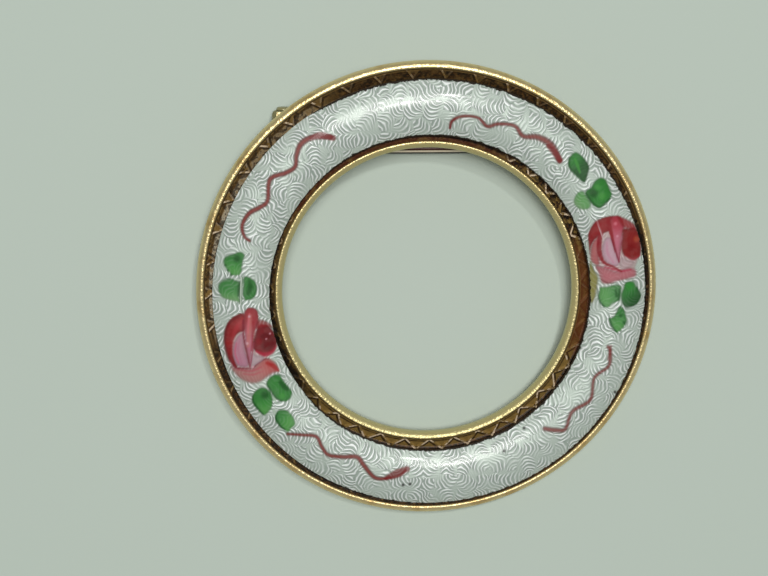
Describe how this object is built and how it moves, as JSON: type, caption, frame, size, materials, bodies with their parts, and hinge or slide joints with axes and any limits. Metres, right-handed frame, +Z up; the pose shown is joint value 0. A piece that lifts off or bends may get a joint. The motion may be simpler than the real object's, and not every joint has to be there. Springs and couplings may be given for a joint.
{
  "type": "circle brooch with painted roses on enamel",
  "caption": "Ring-shaped brooch with a gilt frame, a domed enamel plate painted with roses, and a hinged pin and catch on its back.",
  "frame": {"origin": "on the table under the middle of the brooch as it rests face up", "axes": "+Z up, +Y towards the upper side of the brooch, where the pin crosses its back, +X along the pin towards its point"},
  "size_m": [0.032, 0.0318, 0.0049],
  "materials": {
    "gilt_metal": "worn pale gilding, polished on the rims, brown in the hollows",
    "enamel": "clear glossy enamel over engine-turned silvery metal, painted with roses, leaves and scrolls",
    "pin_wire": "pale gilt wire, smooth"
  },
  "bodies": {
    "root": {"frame": "gilt_metal", "enamel_plate": "enamel", "hinge_rivet": "pin_wire"},
    "pin": {"pin_stem": "pin_wire"}
  },
  "joints": [
    {"name": "pin_hinge", "type": "hinge", "parent": "root", "child": "pin", "pos_m": [-0.00986, 0.00989, 0.00105], "axis": [0, 0.9957, 0.093], "range_deg": [0, 80]}
  ]
}
